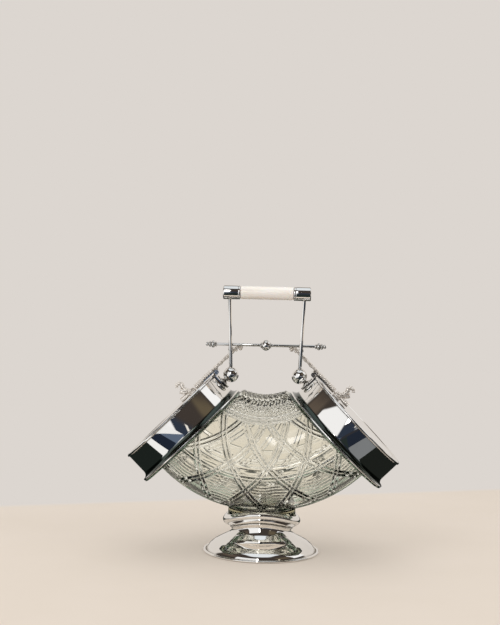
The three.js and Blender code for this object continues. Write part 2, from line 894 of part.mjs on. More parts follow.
// A turned end: a bead, a ball, a smaller bead and a tip.
function finial(side) {
  const r = finialRadius;
  const n = finialLength;
  const shape = turnedSolid([
    [0, 0],
    [r * 0.62, 0],
    [r * 0.8, n * 0.06],
    [r * 0.62, n * 0.13],
    [r * 0.5, n * 0.17],
    [r * 0.86, n * 0.26],
    [r, n * 0.38],
    [r * 0.86, n * 0.5],
    [r * 0.46, n * 0.6],
    [r * 0.62, n * 0.68],
    [r * 0.5, n * 0.77],
    [r * 0.24, n * 0.82],
    [r * 0.36, n * 0.9],
    [r * 0.2, n * 0.98],
    [0, n],
  ]);
  const sign = mirrorOf[side];
  return shape.rotateY((sign * Math.PI) / 2).translate(sign * (barLength / 2 + gap), barY, barHeight);
}

// A small lug behind each upright that the rod rests on.
function barLug(side) {
  const { low, way } = uprightEnds(side);
  const height = barHeight - barRadius - gap - lugRadius;
  const centre = low.clone().addScaledVector(way, (height - low.z) / way.z);
  const depth = 2 * barRadius + lugRadius;
  const from = new THREE.Vector3(centre.x, uprightRadius + gap, height);
  return bar(lugRadius, from, from.clone().add(new THREE.Vector3(0, depth, 0)));
}

// Assembly

const barrel = new THREE.Group();
barrel.add(piece("glass_body", glassBody(), glass()));
barrel.add(piece("saddle_ring", ringMount(), silver()));
barrel.add(piece("pedestal_foot", pedestal(), silver()));
barrel.add(piece("foot_wire", footRing(), silver()));
barrel.add(piece("peg_plaster", pegBedding(), plaster()));
barrel.add(piece("grip", grip(), ivory()));
barrel.add(piece("grip_core", gripCore(), brass()));
barrel.add(piece("cross_rod", crossRod(), silver()));
barrel.add(piece("cross_ball", barBall(), silver()));

for (const side of sides) {
  const { outer, inner } = mouthFrame(side);
  inner.add(piece(side + "_collar", collar(), silver()));
  inner.add(piece(side + "_collar_plaster", collarBedding(), plaster()));
  inner.add(piece(side + "_lid", lid(), silver()));
  inner.add(piece(side + "_lid_liner", lidLiner(), silver()));
  inner.add(piece(side + "_hinge_base", hingeBase(), silver()));
  inner.add(piece(side + "_hinge_leaf", lidLeaf(), silver()));
  inner.add(piece(side + "_hinge_pin", hingePin(), silver()));
  inner.add(piece(side + "_lid_strap", strap(), silver()));
  inner.add(piece(side + "_lid_knob", knob(), silver()));
  inner.add(piece(side + "_lid_lever", lever(mirrorOf[side]), silver()));
  inner.add(piece(side + "_stem", stem(), silver()));
  barrel.add(outer);
  barrel.add(piece(side + "_ball", handleBall(side), silver()));
  barrel.add(piece(side + "_upright", upright(side), silver()));
  barrel.add(piece(side + "_ferrule", ferrule(side), silver()));
  barrel.add(piece(side + "_finial", finial(side), silver()));
  barrel.add(piece(side + "_bar_lug", barLug(side), silver()));
}

export default barrel;
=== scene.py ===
import math
import random

import bpy
from mathutils import Matrix, Vector


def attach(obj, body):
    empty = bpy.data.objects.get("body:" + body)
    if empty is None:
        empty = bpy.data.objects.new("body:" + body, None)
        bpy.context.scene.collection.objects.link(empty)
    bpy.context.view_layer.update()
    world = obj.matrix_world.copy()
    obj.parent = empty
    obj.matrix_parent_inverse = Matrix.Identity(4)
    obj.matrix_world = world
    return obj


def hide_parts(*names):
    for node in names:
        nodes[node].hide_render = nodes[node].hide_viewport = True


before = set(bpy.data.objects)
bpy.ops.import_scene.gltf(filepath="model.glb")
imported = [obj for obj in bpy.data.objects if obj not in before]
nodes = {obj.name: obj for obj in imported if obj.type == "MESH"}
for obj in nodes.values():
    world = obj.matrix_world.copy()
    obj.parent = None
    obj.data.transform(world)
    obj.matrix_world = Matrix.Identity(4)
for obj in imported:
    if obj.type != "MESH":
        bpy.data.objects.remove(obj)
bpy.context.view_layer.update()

MM = 0.001
SIDES = {"left": -1, "right": 1}
QUARTER = math.radians(45)

# Sizes in millimetres, as in the solids. The tube bends round a level axis at the height BEND.
BEND = 194.8
OFFSET = 107.6
NEAR_SKIN, FAR_SKIN, WALL = 38.3, 154.3, 5.5
COLLAR_R, COLLAR_H, COLLAR_WALL, COLLAR_RIM = 59.0, 20.3, 1.2, 1.3
FLARE_R = 5.5
TIP_R = COLLAR_R + FLARE_R
MOUTH_R = 50.2
LID_LOW, LID_TOP, LID_R, BEAD_TOP = 20.6, 22.1, 60.0, 22.9
RING_R = 38.5
BALL_R, BALL_OUT, STEM_Z = 7.7, 10.9, 10.15
UPRIGHT_R, UPRIGHT_X = 1.75, 37.1
BAR_R, BAR_Y, BAR_Z = 1.5, 3.6, 205.0
GRIP_Z = 256.8
AXIS = 0.01  # radius that stands for the axis, so that no ring of a turned form closes to a point


# Meshes

def make(name, verts, faces, material, body, stands_for, angle=38):
    """One piece of the scene, from points in millimetres. It stands for the solids that are named."""
    mesh = bpy.data.meshes.new(name)
    mesh.from_pydata([tuple(c * MM for c in v) for v in verts], [], faces)
    mesh.validate()
    mesh.polygons.foreach_set("use_smooth", [True] * len(mesh.polygons))
    mesh.set_sharp_from_angle(angle=math.radians(angle))
    mesh.materials.append(material)
    piece = bpy.data.objects.new(name, mesh)
    bpy.context.scene.collection.objects.link(piece)
    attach(piece, body)
    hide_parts(*stands_for)
    return piece


class Shape:
    """Vertices and faces gathered from several closed forms."""

    def __init__(self):
        self.verts, self.faces = [], []

    def add(self, verts, faces, matrix=None):
        start = len(self.verts)
        for v in verts:
            self.verts.append(tuple(matrix @ Vector(v)) if matrix else tuple(v))
        for f in faces:
            self.faces.append(tuple(start + i for i in f))
        return self


def rings_to_faces(rings, around, close_ends=False, loop=False):
    """Four-sided faces between rings of points that follow one another."""
    faces = []
    last = rings if loop else rings - 1
    for j in range(last):
        a, b = j * around, ((j + 1) % rings) * around
        for i in range(around):
            k = (i + 1) % around
            faces.append((a + i, a + k, b + k, b + i))
    if close_ends:
        faces.append(tuple(reversed(range(around))))
        faces.append(tuple(range((rings - 1) * around, rings * around)))
    return faces


def softened(points, radius, steps=3, closed=False):
    """The same outline with each corner rounded."""
    out = []
    n = len(points)
    for i, p in enumerate(points):
        if not closed and i in (0, n - 1):
            out.append(p)
            continue
        a, b = points[i - 1], points[(i + 1) % n]
        la = math.dist(a, p)
        lb = math.dist(b, p)
        ra, rb = min(radius, 0.45 * la), min(radius, 0.45 * lb)
        s = tuple(pc + (ac - pc) * ra / la for pc, ac in zip(p, a))
        e = tuple(pc + (bc - pc) * rb / lb for pc, bc in zip(p, b))
        for k in range(steps + 1):
            t = k / steps
            out.append(tuple((1 - t) ** 2 * sc + 2 * t * (1 - t) * pc + t * t * ec
                             for sc, pc, ec in zip(s, p, e)))
    return out


def lathe(profile, around=96, closed=True):
    """Turned about Z. The outline closes on itself, or starts and ends on the axis."""
    verts = []
    for r, z in profile:
        for i in range(around):
            a = 2 * math.pi * i / around
            verts.append((r * math.cos(a), r * math.sin(a), z))
    return verts, rings_to_faces(len(profile), around, not closed, closed)


def outward(verts, faces):
    """Faces turned so that the closed form has its volume inside."""
    volume = 0
    for f in faces:
        a = Vector(verts[f[0]])
        for k in range(1, len(f) - 1):
            volume += a.dot(Vector(verts[f[k]]).cross(Vector(verts[f[k + 1]])))
    return faces if volume > 0 else [tuple(reversed(f)) for f in faces]


def turned(profile, radius=0.4, around=96, steps=3):
    """A turned form with rounded corners. Its outline may start and end on the axis."""
    solid = profile[0][0] < 1e-6
    if solid:
        eased = softened(profile, radius, steps)
        eased[0] = (AXIS, eased[0][1])
        eased[-1] = (AXIS, eased[-1][1])
    else:
        eased = softened(profile, radius, steps, True)
    verts, faces = lathe(eased, around, not solid)
    return verts, outward(verts, faces)


def mouth(side):
    """The mouth's own frame: +Z out along its axis, +X away from the handle."""
    place = Matrix.Translation((OFFSET * math.sin(QUARTER), 0, BEND - OFFSET * math.cos(QUARTER)))
    half_turn = Matrix.Rotation(math.pi if side == "left" else 0, 4, "Z")
    return half_turn @ place @ Matrix.Rotation(QUARTER, 4, "Y")


def along(start, end):
    """A frame at start whose +Z points at end."""
    start, end = Vector(start), Vector(end)
    return Matrix.Translation(start) @ (end - start).to_track_quat("Z", "Y").to_matrix().to_4x4()


def smooth_path(points, steps=8):
    """A smooth curve through the points."""
    pts = [Vector(p) for p in points]
    pts = [2 * pts[0] - pts[1]] + pts + [2 * pts[-1] - pts[-2]]
    out = []
    for i in range(1, len(pts) - 2):
        p0, p1, p2, p3 = pts[i - 1:i + 3]
        for k in range(steps):
            t = k / steps
            out.append(0.5 * (2 * p1 + (p2 - p0) * t + (2 * p0 - 5 * p1 + 4 * p2 - p3) * t * t
                              + (3 * p1 - p0 - 3 * p2 + p3) * t ** 3))
    out.append(pts[-2])
    return out


def frames_on(path):
    """A tangent and two side directions at each point, carried along without twist."""
    side = None
    out = []
    for i, p in enumerate(path):
        t = (path[min(i + 1, len(path) - 1)] - path[max(i - 1, 0)]).normalized()
        if side is None:
            side = t.cross(Vector((0, 1, 0)))
            if side.length < 0.1:
                side = t.cross(Vector((1, 0, 0)))
        side = (side - t * side.dot(t)).normalized()
        out.append((p, t, side, t.cross(side)))
    return out


def limb(path, radius, around=10):
    """A closed tube along a path. The radius is a function of the share of its length."""
    verts = []
    count = len(path)
    for i, (p, t, u, v) in enumerate(frames_on(path)):
        r = radius(i / (count - 1))
        for k in range(around):
            a = 2 * math.pi * k / around
            verts.append(p + u * r * math.cos(a) + v * r * math.sin(a))
    faces = rings_to_faces(count, around, True)
    return verts, outward(verts, faces)


def strands(path, reach, radius, turns, count=3, around=8):
    """Twisted strands round a path, each a closed tube."""
    shape = Shape()
    spine = frames_on(path)
    for s in range(count):
        line = []
        for i, (p, t, u, v) in enumerate(spine):
            share = i / (len(spine) - 1)
            a = 2 * math.pi * (turns * share + s / count)
            d = reach(share)
            line.append(p + u * d * math.cos(a) + v * d * math.sin(a))
        shape.add(*limb(line, radius, around))
    return shape


def bead(centre, radius, around=12):
    """A small ball, flat at its poles."""
    verts = []
    rows = around // 2
    for j in range(1, rows):
        a = math.pi * j / rows
        for i in range(around):
            b = 2 * math.pi * i / around
            verts.append((centre[0] + radius * math.sin(a) * math.cos(b),
                          centre[1] + radius * math.sin(a) * math.sin(b),
                          centre[2] + radius * math.cos(a)))
    faces = rings_to_faces(rows - 1, around, True)
    return verts, outward(verts, faces)


def leaf(root, tip, width, thickness, up=(0, 0, 1)):
    """A pointed leaf with a raised midrib and a curl."""
    root, tip, up = Vector(root), Vector(tip), Vector(up)
    way = tip - root
    side = way.cross(up).normalized()
    lift = side.cross(way).normalized()
    verts = []
    rows, across = 10, 12
    for j in range(rows + 1):
        t = j / rows
        half = width * math.sin(math.pi * min(t * 0.92 + 0.08, 1)) ** 0.8 + 0.05
        mid = root + way * t + lift * (0.5 * thickness * math.sin(math.pi * t))
        for i in range(across):
            a = 2 * math.pi * i / across
            x = math.cos(a)
            z = math.sin(a) * thickness * (0.55 + 0.45 * (1 - abs(x)))
            z += 0.35 * thickness * abs(x) * math.cos(6 * math.pi * t)
            verts.append(mid + side * half * x + lift * z)
    faces = rings_to_faces(rows + 1, across, True)
    return verts, outward(verts, faces)


# Node materials

class Graph:
    """Short names for the nodes that the materials and the world are made of."""

    def __init__(self, tree):
        self.tree = tree

    def node(self, kind, **settings):
        made = self.tree.nodes.new(kind)
        for key, value in settings.items():
            setattr(made, key, value)
        return made

    def feed(self, socket, value):
        if hasattr(value, "is_output"):
            self.tree.links.new(value, socket)
        else:
            socket.default_value = value

    def math(self, operation, a, b=0.0, c=0.0):
        made = self.node("ShaderNodeMath", operation=operation)
        for socket, value in zip(made.inputs, (a, b, c)):
            self.feed(socket, value)
        return made.outputs[0]

    def mix(self, share, a, b):
        made = self.node("ShaderNodeMix", data_type="RGBA")
        self.feed(made.inputs["Factor"], share)
        self.feed(made.inputs[6], a)
        self.feed(made.inputs[7], b)
        return made.outputs[2]

    def step(self, value, low, high):
        made = self.node("ShaderNodeMapRange", interpolation_type="SMOOTHSTEP")
        self.feed(made.inputs["Value"], value)
        made.inputs["From Min"].default_value = low
        made.inputs["From Max"].default_value = high
        return made.outputs[0]

    def between(self, value, low, high, soft):
        up = self.step(value, low - soft, low + soft)
        down = self.step(value, high - soft, high + soft)
        return self.math("MULTIPLY", up, self.math("SUBTRACT", 1.0, down))

    def noise(self, vector, scale, detail):
        made = self.node("ShaderNodeTexNoise")
        self.feed(made.inputs["Vector"], vector)
        made.inputs["Scale"].default_value = scale
        made.inputs["Detail"].default_value = detail
        return made.outputs["Fac"]

    def attribute(self, name):
        return self.node("ShaderNodeAttribute", attribute_name=name).outputs["Fac"]

    def bump(self, height, distance, strength=1.0):
        made = self.node("ShaderNodeBump")
        made.inputs["Strength"].default_value = strength
        made.inputs["Distance"].default_value = distance
        self.feed(made.inputs["Height"], height)
        return made

    def place(self, scale=(1, 1, 1)):
        coord = self.node("ShaderNodeTexCoord")
        mapping = self.node("ShaderNodeMapping")
        self.tree.links.new(coord.outputs["Object"], mapping.inputs["Vector"])
        mapping.inputs["Scale"].default_value = scale
        return mapping.outputs[0]


def rgb(r, g, b):
    return (r, g, b, 1.0)


def new_material(name):
    material = bpy.data.materials.new(name)
    material.use_nodes = True
    graph = Graph(material.node_tree)
    return material, graph, material.node_tree.nodes["Principled BSDF"]


# How far from a corner the plate gets painted shade, in metres, and the share of its open sky at which that starts
# and ends.
HOLLOW, SHUT, OPEN = 2.5 * MM, 0.35, 0.95
# Colour of the faintly tarnished patches and of the painted shade in the hollows.
WARM_TARNISH_AND_SHADE = rgb(0.20, 0.165, 0.12)


def silver_plate(name, colour, low, high, bump, hollow_shade, stretch=(1, 1, 1), metal=1.0,
                 stain_and_shade=WARM_TARNISH_AND_SHADE, shade_attribute="", swell=0.0):
    """Polished plate: fine wiping marks, faintly tarnished patches, and painted shade in its hollows.

    Its roughness lies between low and high. Where the point attribute that it is given is 1, the painted shade is
    full, in the shade colour.
    """
    material, g, shader = new_material(name)
    place = g.place(stretch)
    cloud = g.noise(place, 28.0, 4.0)
    marks = g.noise(g.place((stretch[0] * 6, stretch[1] * 6, stretch[2])), 320.0, 2.0)
    # Painted shade: darker towards the shade colour in hollows and corners, where the ambient occlusion finds little
    # open sky.
    hollow = g.node("ShaderNodeAmbientOcclusion", samples=4)
    hollow.inputs["Distance"].default_value = HOLLOW
    shade = g.math("SUBTRACT", 1.0, g.step(hollow.outputs["AO"], SHUT, OPEN))
    painted_shade = g.math("MULTIPLY", shade, hollow_shade)
    # Painted shade in full where the marked point attribute is 1.
    if shade_attribute:
        painted_shade = g.math("MAXIMUM", painted_shade, g.attribute(shade_attribute))
    # Painted shade, plus faint random tarnish in patches.
    shade_and_tarnish = g.math("ADD", painted_shade, g.math("MULTIPLY", g.step(cloud, 0.52, 0.8), 0.10))
    g.feed(shader.inputs["Base Color"], g.mix(shade_and_tarnish, colour, stain_and_shade))
    shader.inputs["Metallic"].default_value = metal
    rough = g.math("MULTIPLY_ADD", cloud, high - low, low)
    rough = g.math("ADD", rough, g.math("MULTIPLY", painted_shade, 0.12))
    g.feed(shader.inputs["Roughness"], rough)
    raised = g.bump(marks, 0.00002, bump)
    if swell:
        g.feed(raised.inputs["Normal"], g.bump(g.noise(place, 22.0, 0.0), swell).outputs[0])
    g.feed(shader.inputs["Normal"], raised.outputs[0])
    return material


def glass_material():
    """Lead glass: a warm clear tone that gathers in the thick parts, satin in its cuts, and a painted dark green
    shade at its rims.
    """
    material, g, shader = new_material("cut_glass")
    seed = g.noise(g.place(), 60.0, 2.0)
    satin = g.step(g.attribute("cut"), 0.25, 0.8)
    clear = g.mix(g.step(seed, 0.4, 0.7), rgb(0.99, 0.975, 0.935), rgb(0.965, 0.945, 0.89))
    # Painted dark green shade where the rim attribute is 1: along the lowest edge and on the flange.
    tone = g.mix(g.attribute("rim_shade"), g.mix(satin, clear, rgb(1, 1, 1)), rgb(0.16, 0.26, 0.20))
    g.feed(shader.inputs["Base Color"], tone)
    shader.inputs["Transmission Weight"].default_value = 1.0
    shader.inputs["IOR"].default_value = 1.54
    g.feed(shader.inputs["Roughness"], g.math("MULTIPLY", satin, 0.10))
    inside = g.node("ShaderNodeVolumeAbsorption")
    inside.inputs["Color"].default_value = rgb(0.90, 0.895, 0.68)
    inside.inputs["Density"].default_value = 9.0
    out = material.node_tree.nodes["Material Output"]
    g.feed(out.inputs["Volume"], inside.outputs[0])
    return material


def bone_material():
    """Polished bone: warm white with fine lengthwise pores and yellower patches."""
    material, g, shader = new_material("bone_grip")
    pores = g.noise(g.place((1.0, 14.0, 14.0)), 110.0, 4.0)
    cloud = g.noise(g.place((1.0, 3.0, 3.0)), 40.0, 3.0)
    tone = g.mix(g.step(cloud, 0.35, 0.75), rgb(0.87, 0.84, 0.80), rgb(0.82, 0.77, 0.70))
    tone = g.mix(g.math("MULTIPLY", g.step(pores, 0.62, 0.80), 0.25), tone, rgb(0.55, 0.45, 0.33))
    g.feed(shader.inputs["Base Color"], tone)
    shader.inputs["Roughness"].default_value = 0.28
    shader.inputs["Subsurface Weight"].default_value = 0.12
    shader.inputs["Subsurface Radius"].default_value = (0.004, 0.003, 0.002)
    shader.inputs["Coat Weight"].default_value = 0.3
    g.feed(shader.inputs["Normal"], g.bump(pores, 0.0001, 0.12).outputs[0])
    return material


def plaster_material():
    """Grainy plaster that beds the collars and the peg."""
    material, g, shader = new_material("bedding_plaster")
    grain = g.noise(g.place(), 420.0, 4.0)
    g.feed(shader.inputs["Base Color"], g.mix(grain, rgb(0.62, 0.60, 0.53), rgb(0.80, 0.78, 0.70)))
    shader.inputs["Roughness"].default_value = 0.9
    g.feed(shader.inputs["Normal"], g.bump(grain, 0.0003, 0.4).outputs[0])
    return material


def brass_material():
    """Drawn brass of the rod inside the grip."""
    material, g, shader = new_material("core_brass")
    drawn = g.noise(g.place((1.0, 40.0, 40.0)), 60.0, 3.0)
    g.feed(shader.inputs["Base Color"], g.mix(drawn, rgb(0.62, 0.44, 0.18), rgb(0.80, 0.62, 0.32)))
    shader.inputs["Metallic"].default_value = 1.0
    g.feed(shader.inputs["Roughness"], g.math("MULTIPLY_ADD", drawn, 0.2, 0.25))
    return material


SILVER = rgb(0.93, 0.915, 0.885)
# The sixth number of each plate sets the strength of the painted shade in its hollows.
mirror = silver_plate("silver_mirror", SILVER, 0.015, 0.05, 0.10, 0.55)
# The banded plate's stain colour is a painted dark green shade, full in the hollow of the flared lip.
banded = silver_plate("silver_banded", SILVER, 0.015, 0.05, 0.10, 0.6,
                      stain_and_shade=rgb(0.06, 0.075, 0.065), shade_attribute="flare_shade", swell=0.0009)
cast = silver_plate("silver_cast", rgb(0.98, 0.92, 0.85), 0.22, 0.36, 0.35, 0.42, metal=0.62)
rod = silver_plate("silver_drawn", SILVER, 0.05, 0.12, 0.25, 0.6, (1, 1, 0.1))
glass = glass_material()
bone = bone_material()
plaster = plaster_material()
brass = brass_material()


# Cut-glass body

def skins(angle):
    """The outer skin's least and greatest distance from the tube's axis of bend, at an angle along the tube."""
    share = abs(angle) / QUARTER
    return NEAR_SKIN + 5.0 * share ** 3, FAR_SKIN - 3.5 * share ** 2


# The bands of the pattern round the tube, in degrees from its lowest line.
LATTICE_TOP, DOUBLE_LINE, DIAMONDS_FROM, FLUTES_FROM, FLUTES_SPLIT = 124.5, (131.2, 126.8), 134.5, 147, 158
# Where the outline's points lie round the tube, in degrees, each with the number of steps after it.
HALF = [(0, 24), (30, 110), (124.6, 8), (129, 8), (133.4, 24), (FLUTES_FROM, 14), (FLUTES_SPLIT, 24)]
STATIONS = HALF + [(180, 24), (202, 14), (213, 24), (226.6, 8), (231, 8), (235.4, 110), (330, 24), (360, 0)]
AROUND = sum(count for _start, count in STATIONS)
# Rings along the outer and the inner skin, and how far behind each mouth's plane the skins end.
OUTER_STEPS, INNER_STEPS = 360, 60
OUTER_BACK, INNER_BACK = 9.6, 7.0
# The flange behind the collar and the neck inside it, as radius and height in the mouth's frame.
NECK = [
    (63.4, -8.6), (64.2, -8.1), (64.2, -7.2), (62.4, -6.7), (59.6, -5.0), (57.9, -2.6), (57.3, -0.2),
    (55.4, 0.2), (55.3, 1.0), (55.3, 13.4), (54.7, 14.0), (50.6, 14.0), (50.0, 13.4), (50.0, 2.4), (48.6, 0.2),
]
FLANGE = 7  # how many of the neck's rings are the flange


def skin_point(angle, turn, inset=0.0):
    near, far = skins(angle)
    middle, radius = (near + far) / 2, (far - near) / 2 - inset
    rho = middle + radius * math.cos(turn)
    return rho, -radius * math.sin(turn)


def end_angle(turn, inset, depth):
    """The angle at which the skin meets the plane that lies behind the collar's lower edge."""
    angle = QUARTER
    for _ in range(30):
        rho, _y = skin_point(angle, turn, inset)
        angle = QUARTER - math.asin(min(depth / rho, 0.9))
    return angle


def limited(value):
    return min(1.0, max(0.0, value))


def groove(distance, half):
    """A mitre cut's depth, from 0 at its edge to 1 on its line."""
    d = abs(distance)
    return 0.0 if d >= half else 1 - d / half


def pair(distance, gap, half):
    """Two mitre cuts, each as far as gap from the middle line."""
    return max(groove(distance - gap, half), groove(distance + gap, half))


def saw(x):
    """From -0.5 to 0.5 within each step of 1."""
    return x - math.floor(x) - 0.5


# Each row of flutes: its middle and height in degrees, its slant and its shift in steps of the pitch.
FLUTE_ROWS = ((169, 22, 1.5, 0.0), (152.5, 11, -0.9, 0.5))
FLUTE_PITCH, FLUTE_DEPTH = math.radians(7.4), 2.5
DIAMOND_PITCH, DIAMOND_DEPTH = 4.2, 0.9


def flutes(phi, deg):
    """Two rows of slanting flutes along the inner curve, one leaning each way, with a line at each edge."""
    middle, height, slant, shift = FLUTE_ROWS[0 if deg > FLUTES_SPLIT else 1]
    lean = (deg - middle) / height
    wave = saw((phi + slant * lean * FLUTE_PITCH + shift * FLUTE_PITCH) / FLUTE_PITCH)
    edge = min(abs(deg - FLUTES_SPLIT), abs(deg - FLUTES_FROM)) / 2.5
    depth = FLUTE_DEPTH * (0.5 + 0.5 * math.cos(2 * math.pi * wave)) ** 1.4 * min(1.0, edge)
    return max(depth, 1.1 * groove(deg - FLUTES_SPLIT, 1.2), 1.3 * groove(deg - FLUTES_FROM, 1.2))


def diamonds(phi, deg):
    """Small diamonds between two sets of slanting lines."""
    along_it, up_it = phi * 52, (deg - 144) * 1.01
    va = abs(saw((along_it + up_it) / DIAMOND_PITCH)) * 2
    vb = abs(saw((along_it - up_it) / DIAMOND_PITCH)) * 2
    return DIAMOND_DEPTH * max(max(0.0, 1 - va * 1.25), max(0.0, 1 - vb * 1.25))


# The lattice: half the angle between its stars, the height of a row, the level of the lowest crossings, how much
# the view from above adds to the level, and the angle by which the pattern is turned along the tube.
LATTICE, ROW_RISE, CROSSING, SLOPE, PATTERN = math.radians(10.15), 23.5, 135.7, 0.16, math.radians(3.5)
MITRE_GAP, MITRE_HALF = 1.9, 1.5
STAR_PAIR, LOW_PAIR = math.radians(82.4), 123.5
LINE_PITCH, LINE_DEPTH, LINES_END = 3.1, 0.26, 148
LATTICE_LOW = 4.6  # how far above the glass's lowest line the lattice ends


def lattice(phi, t, rho, radius):
    """Double mitre cuts that cross in rows, with level pairs between them and fine lines along the lower edge."""
    # Height up the front as seen from a little above, which keeps the crossing cuts straight there.
    level = rho + SLOPE * radius * math.sin(t)
    place = (phi - LATTICE) / (2 * LATTICE)
    strong = 1.15 + 0.65 * limited((level - 125) / 8)
    lean = math.cos(math.atan2(LATTICE * rho * math.sin(t), ROW_RISE))
    depth = 0.0
    for sign in (1, -1):
        line = place - sign * (CROSSING - level) / ROW_RISE / 2
        across = (line - round(line)) * 2 * LATTICE * rho * lean
        depth = max(depth, strong * pair(across, MITRE_GAP, MITRE_HALF))
    # A level pair through the stars, and another over the lowest crossings.
    depth = max(depth, 0.8 * pair((t - STAR_PAIR) * radius, 1.5, 1.1))
    depth = max(depth, 1.0 * pair(level - LOW_PAIR, 1.4, 1.2))
    inside = abs(place - round(place)) - (level - CROSSING) / ROW_RISE / 2
    if level > CROSSING - 6 and inside > 0.05 and rho < LINES_END:
        v = (rho + 0.5 * math.sin(phi * 31)) / LINE_PITCH
        depth = max(depth, LINE_DEPTH * max(0.0, 1 - abs(saw(v)) * 4.0))
    return depth


def cut_depth(angle, turn):
    """How deep the pattern is cut at a point of the outer skin, in millimetres."""
    t = turn if turn <= math.pi else 2 * math.pi - turn
    back = 1 if turn <= math.pi else -1
    phi = angle - PATTERN * back
    near, far = skins(angle)
    radius = (far - near) / 2
    rho = (near + far) / 2 + radius * math.cos(t)
    deg = math.degrees(t)
    depth = 0.0
    if deg > FLUTES_FROM:
        depth = flutes(phi, deg)
    elif deg > DIAMONDS_FROM:
        depth = diamonds(phi, deg)
    else:
        for line in DOUBLE_LINE:
            depth = max(depth, 1.2 * (1 - min(abs(deg - line) / 2.2, 1) ** 2))
    if far - rho > LATTICE_LOW and deg < LATTICE_TOP:
        depth = max(depth, lattice(phi, t, rho, radius))
    if deg < 90:
        # Two lines along the lowest edge, from collar to collar.
        depth = max(depth, 1.5 * groove(far - rho - 3.7, 0.9), 1.2 * groove(far - rho - 1.1, 0.7))
    return depth * limited((QUARTER - abs(angle)) / math.radians(2.5))


def bent(angle, rho, y):
    return Vector((rho * math.sin(angle), y, BEND - rho * math.cos(angle)))


def glass_body():
    """The crescent tube with its necks and its stub, and for each point of the tube how satin it is and how much
    painted dark shade it has.
    """
    turns = []
    for (start, count), (stop, _count) in zip(STATIONS, STATIONS[1:]):
        turns += [math.radians(start + (stop - start) * i / count) for i in range(count)]
    outer_ends = [end_angle(t, 0, OUTER_BACK) for t in turns]
    inner_ends = [end_angle(t, WALL, INNER_BACK) for t in turns]
    verts, satin, painted_dark = [], [], []

    def ring(points, satin_shares=None, painted_dark_shares=None):
        verts.extend(points)
        satin.extend(satin_shares or [0.0] * len(points))
        painted_dark.extend(painted_dark_shares or [0.0] * len(points))

    def neck(side, steps):
        m = mouth("right")
        for radius, height in steps:
            points = [m @ Vector((radius * math.cos(t), -radius * math.sin(t), height)) for t in turns]
            ring([Vector((-p.x, p.y, p.z)) for p in points] if side < 0 else points)

    def outer_row(share):
        points, satin_shares, painted_dark_shares = [], [], []
        for t, end in zip(turns, outer_ends):
            angle = end * share
            depth = cut_depth(angle, t)
            points.append(bent(angle, *skin_point(angle, t, depth)))
            near, far = skins(angle)
            low = (far - near) / 2 * (1 - math.cos(t))
            # A satin line between two lines of painted dark shade along the lowest edge. The flutes stay clear.
            worked = min(depth / 1.3, 1.0) if math.cos(t) > -0.68 else 0.0
            satin_shares.append(1.0 if 1.0 < low < 2.8 else worked)
            painted_dark_shares.append(1.0 if low < 0.8 or 3.0 < low < 4.4 else 0.0)
        ring(points, satin_shares, painted_dark_shares)

    for j in range(OUTER_STEPS + 1):
        outer_row(-1 + 2 * j / OUTER_STEPS)
    neck(1, NECK)
    for j in range(INNER_STEPS + 1):
        share = 1 - 2 * j / INNER_STEPS
        angles = [end * share for end in inner_ends]
        ring([bent(angle, *skin_point(angle, t, WALL)) for angle, t in zip(angles, turns)])
    neck(-1, NECK[::-1])
    rings = len(verts) // AROUND
    # The flange has painted dark shade at both ends: its rings are the first of the right neck and the last of all.
    for start in (OUTER_STEPS + 1, rings - FLANGE):
        for k in range(start * AROUND, (start + FLANGE) * AROUND):
            painted_dark[k] = 1.0
    shape = Shape()
    shape.add(verts, outward(verts, rings_to_faces(rings, AROUND, False, True)))
    # The stub that stands in the ring mount, and its peg. Its top lies just inside the tube's wall.
    stub_top = 40
    profile = [(AXIS, 15), (24, 15), (24, 27.9), (33.3, 27.9), (33.3, stub_top), (AXIS, stub_top)]
    stub, stub_faces = lathe(softened(profile, 0.8, 3), 120, False)
    bedded = [(x, y, underside(x, y) + 2.6) if z > stub_top - 1 else saddle(x, y, z) for x, y, z in stub]
    shape.add(bedded, outward(bedded, stub_faces))
    return shape, satin, painted_dark


def mark(piece, name, values):
    """A share for each point of a piece, which its material reads. Points without a value get 0."""
    share = piece.data.attributes.new(name, "FLOAT", "POINT")
    share.data.foreach_set("value", values + [0.0] * (len(piece.data.vertices) - len(values)))


# Saddle

def underside(x, y):
    """The height of the glass's underside over a point of the floor."""
    middle, radius = (NEAR_SKIN + FAR_SKIN) / 2, (FAR_SKIN - NEAR_SKIN) / 2
    distance = middle + math.sqrt(max(radius ** 2 - y * y, 0))
    return BEND - math.sqrt(distance ** 2 - x * x)


SADDLE_RISE = underside(0, RING_R) - underside(RING_R, 0)
SADDLE_FROM, SADDLE_SPAN = 14, 9  # the rise grows from this height, over this span


def saddle(x, y, z):
    """A point of the mount, raised at its front and back to follow the glass."""
    share = min(max((z - SADDLE_FROM) / SADDLE_SPAN, 0), 1)
    share = share * share * (3 - 2 * share)
    distance = max(math.hypot(x, y), 1e-6)
    return (x, y, z + share * SADDLE_RISE * y * y / (distance * RING_R))


def saddled(form):
    verts, faces = form
    return [saddle(*v) for v in verts], faces


def one(name, form, material, body, stands_for, matrix=None):
    """A piece made of one form."""
    shape = Shape().add(*form, matrix)
    return make(name, shape.verts, shape.faces, material, body, (stands_for,))


def plated(name, form, stands_for, matrix=None, material=mirror, body="barrel"):
    return one(name, form, material, body, stands_for, matrix)


cut, satin, painted_dark = glass_body()
barrel = make("cut_glass_body", cut.verts, cut.faces, glass, "barrel", ("glass_body",), 28)
mark(barrel, "cut", satin)
mark(barrel, "rim_shade", painted_dark)


# Pedestal

ring_profile = [
    (28.0, 26.0), (32.2, 26.0), (34.4, 26.9), (36.6, 28.4), (37.9, 30.2), (RING_R, 31.8), (38.2, 33.4), (37.2, 35.0),
    (35.6, 36.4), (34.4, 37.0), (33.6, 36.5), (33.6, 27.6), (28.0, 27.6),
]
plated("ring_mount", saddled(turned(ring_profile, 0.9, 144, 4)), "saddle_ring")

